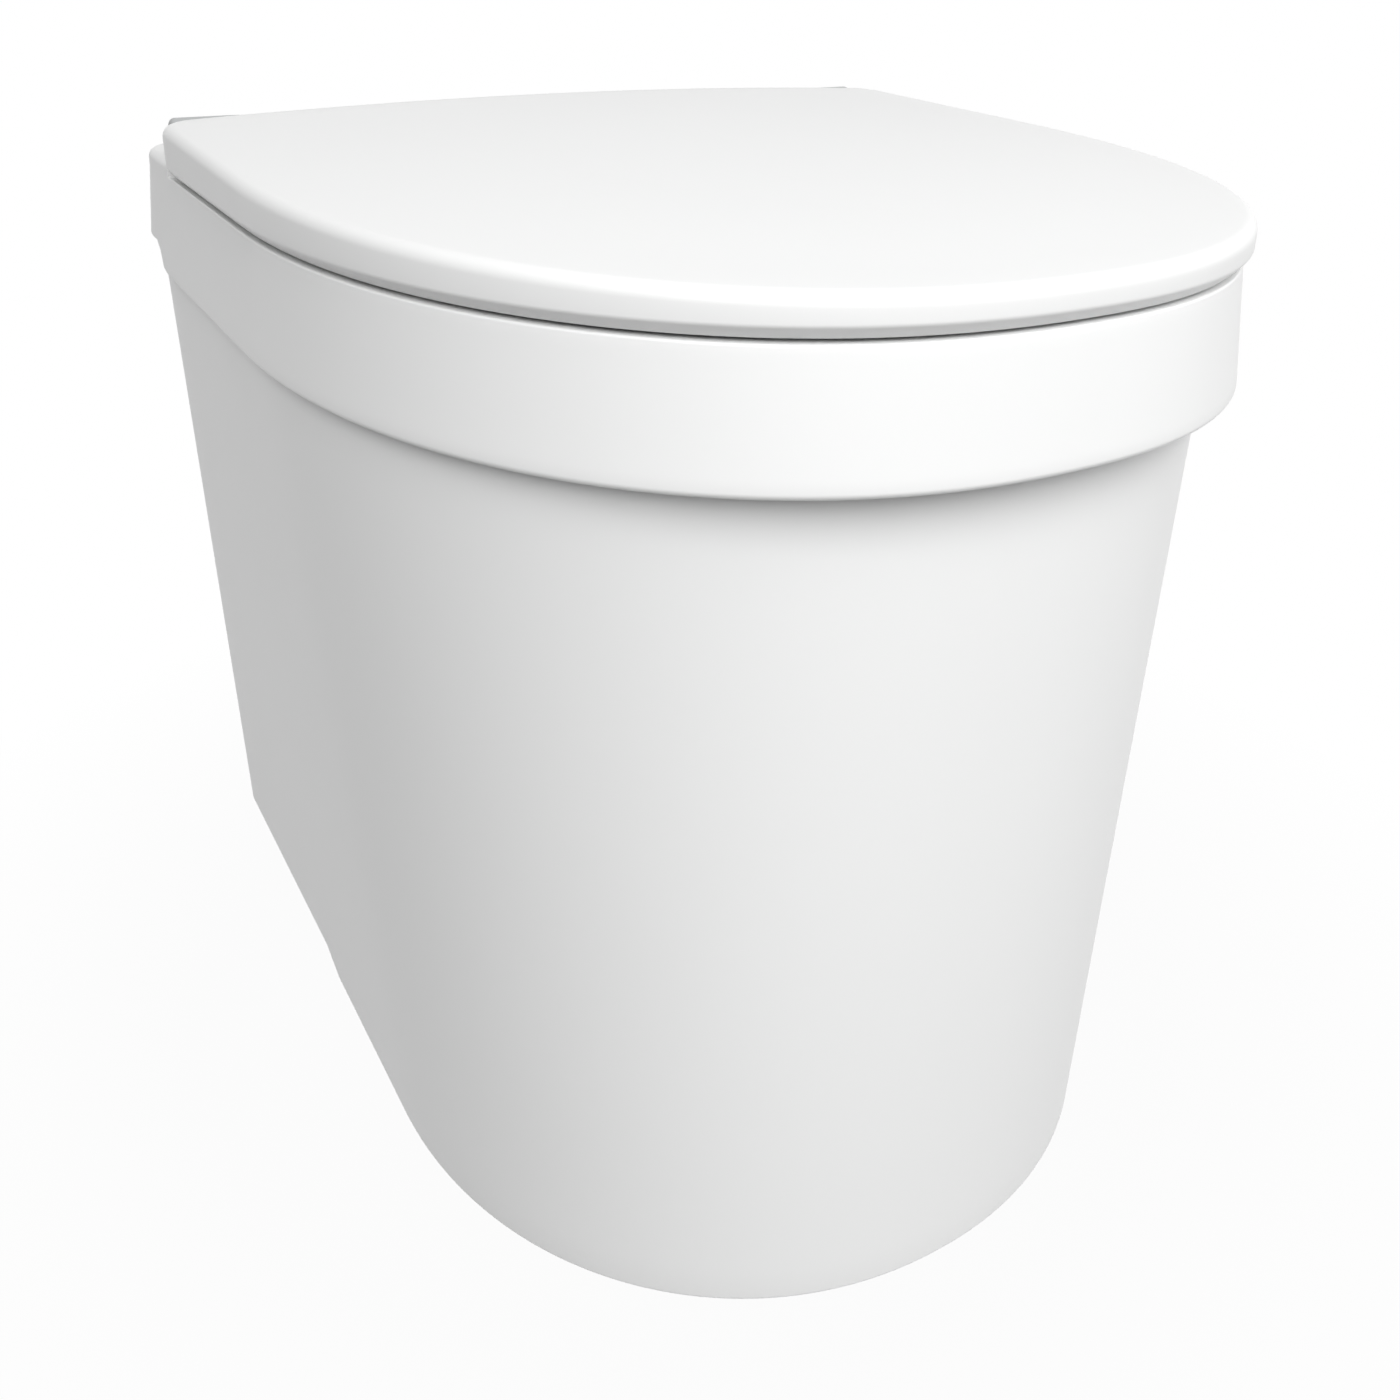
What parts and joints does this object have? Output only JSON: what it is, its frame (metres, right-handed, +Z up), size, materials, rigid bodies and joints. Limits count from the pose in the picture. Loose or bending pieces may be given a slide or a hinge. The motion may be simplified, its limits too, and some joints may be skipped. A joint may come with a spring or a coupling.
{
  "type": "cassette toilet",
  "caption": "Floor-standing cassette toilet: tapering body under a deep collar, D-shaped lid and seat hinged at the rear, bowl with a turning valve, and a waste cassette drawn out at the back.",
  "frame": {"origin": "centre of the footprint on the floor", "axes": "+Z up, the rounded front faces -Y, the flat back with the cassette faces +Y, +X to the right seen from the front"},
  "size_m": [0.3994, 0.4934, 0.4402],
  "materials": {
    "white_shell": "white moulded plastic with a soft satin gloss",
    "bowl_white": "white glossy plastic",
    "tray_white": "off-white matt plastic",
    "tank_plastic": "off-white blow-moulded plastic",
    "grey_plastic": "mid-grey satin plastic",
    "dark_plastic": "dark grey plastic",
    "buffer_rubber": "pale grey soft rubber",
    "seal_rubber": "black rubber",
    "hose_plastic": "milky flexible hose",
    "window_plastic": "tinted clear window",
    "steel": "stainless steel"
  },
  "bodies": {
    "stand": {"body_shell": "white_shell", "base_tray": "tray_white", "rail_left": "grey_plastic", "rail_right": "grey_plastic", "collar": "white_shell", "bowl": "bowl_white", "outlet_sleeve": "seal_rubber", "flush_nozzle": "grey_plastic", "flush_hose": "hose_plastic", "hinge_cover_left": "grey_plastic", "hinge_cover_right": "grey_plastic", "hinge_post_left": "white_shell", "hinge_post_right": "white_shell", "hinge_pin_left": "steel", "hinge_pin_right": "steel", "button_bezel": "grey_plastic", "level_window": "window_plastic", "control_box": "dark_plastic", "water_valve": "dark_plastic", "inlet_nipple": "grey_plastic", "cable_gland": "dark_plastic", "collar_screw_1": "steel", "collar_screw_2": "steel", "collar_screw_3": "steel", "collar_screw_4": "steel"},
    "seat": {"seat": "white_shell", "seat_buffer_1": "buffer_rubber", "seat_buffer_2": "buffer_rubber", "seat_buffer_3": "buffer_rubber", "seat_buffer_4": "buffer_rubber"},
    "lid": {"lid": "white_shell", "lid_buffer_left": "buffer_rubber", "lid_buffer_right": "buffer_rubber"},
    "flush": {"flush_button": "grey_plastic"},
    "valve": {"valve_knob": "grey_plastic", "valve_shaft": "steel"},
    "cassette": {"cassette_tank": "tank_plastic", "valve_housing": "grey_plastic", "lip_seal": "seal_rubber", "spout_ring": "grey_plastic", "handle_pin_left": "steel", "handle_pin_right": "steel", "wheel_axle_left": "steel", "wheel_axle_right": "steel"},
    "blade": {"valve_blade": "dark_plastic"},
    "spout": {"spout": "tank_plastic"},
    "cap": {"spout_cap": "dark_plastic"},
    "handle": {"carry_handle": "dark_plastic"},
    "wheel_left": {"wheel_left": "dark_plastic"},
    "wheel_right": {"wheel_right": "dark_plastic"},
    "vent": {"vent_button": "dark_plastic"}
  },
  "joints": [
    {"name": "seat_hinge", "type": "hinge", "parent": "stand", "child": "seat", "pos_m": [0, 0.14648, 0.43], "axis": [-1, 0, 0], "range_deg": [0, 90]},
    {"name": "lid_hinge", "type": "hinge", "parent": "seat", "child": "lid", "pos_m": [0, 0.14648, 0.43], "axis": [-1, 0, 0], "range_deg": [0, 90]},
    {"name": "flush_press", "type": "slide", "parent": "stand", "child": "flush", "axis": [0, 0, -1], "range_m": [0, 0.003], "stiffness_N_per_m": 300, "springref_m": -0.002},
    {"name": "knob_turn", "type": "hinge", "parent": "stand", "child": "valve", "pos_m": [0, 0.08498, 0.415], "axis": [0, 0, 1], "range_deg": [0, 90]},
    {"name": "cassette_slide", "type": "slide", "parent": "stand", "child": "cassette", "axis": [0, 1, 0], "range_m": [0, 0.42]},
    {"name": "blade_turn", "type": "hinge", "parent": "cassette", "child": "blade", "pos_m": [0, 0.08498, 0.17], "axis": [0, 0, 1], "range_deg": [0, 90]},
    {"name": "spout_swivel", "type": "hinge", "parent": "cassette", "child": "spout", "pos_m": [0.098, 0.18498, 0.122], "axis": [0, 0, -1], "range_deg": [0, 90]},
    {"name": "cap_turn", "type": "hinge", "parent": "spout", "child": "cap", "pos_m": [0.045, 0.18498, 0.1456], "axis": [1, 0, 0], "range_deg": [0, 90]},
    {"name": "handle_swing", "type": "hinge", "parent": "cassette", "child": "handle", "pos_m": [0, 0.22298, 0.108], "axis": [1, 0, 0], "range_deg": [0, 90]},
    {"name": "wheel_left_spin", "type": "hinge", "parent": "cassette", "child": "wheel_left", "pos_m": [-0.1215, -0.05502, 0.0203], "axis": [1, 0, 0], "continuous": true},
    {"name": "wheel_right_spin", "type": "hinge", "parent": "cassette", "child": "wheel_right", "pos_m": [0.1215, -0.05502, 0.0203], "axis": [1, 0, 0], "continuous": true},
    {"name": "vent_press", "type": "slide", "parent": "cassette", "child": "vent", "axis": [0, 0, -1], "range_m": [0, 0.003], "stiffness_N_per_m": 200, "springref_m": -0.001}
  ],
  "couplings": [
    {"joint": "blade_turn", "follows": "knob_turn", "ratio": 1}
  ]
}
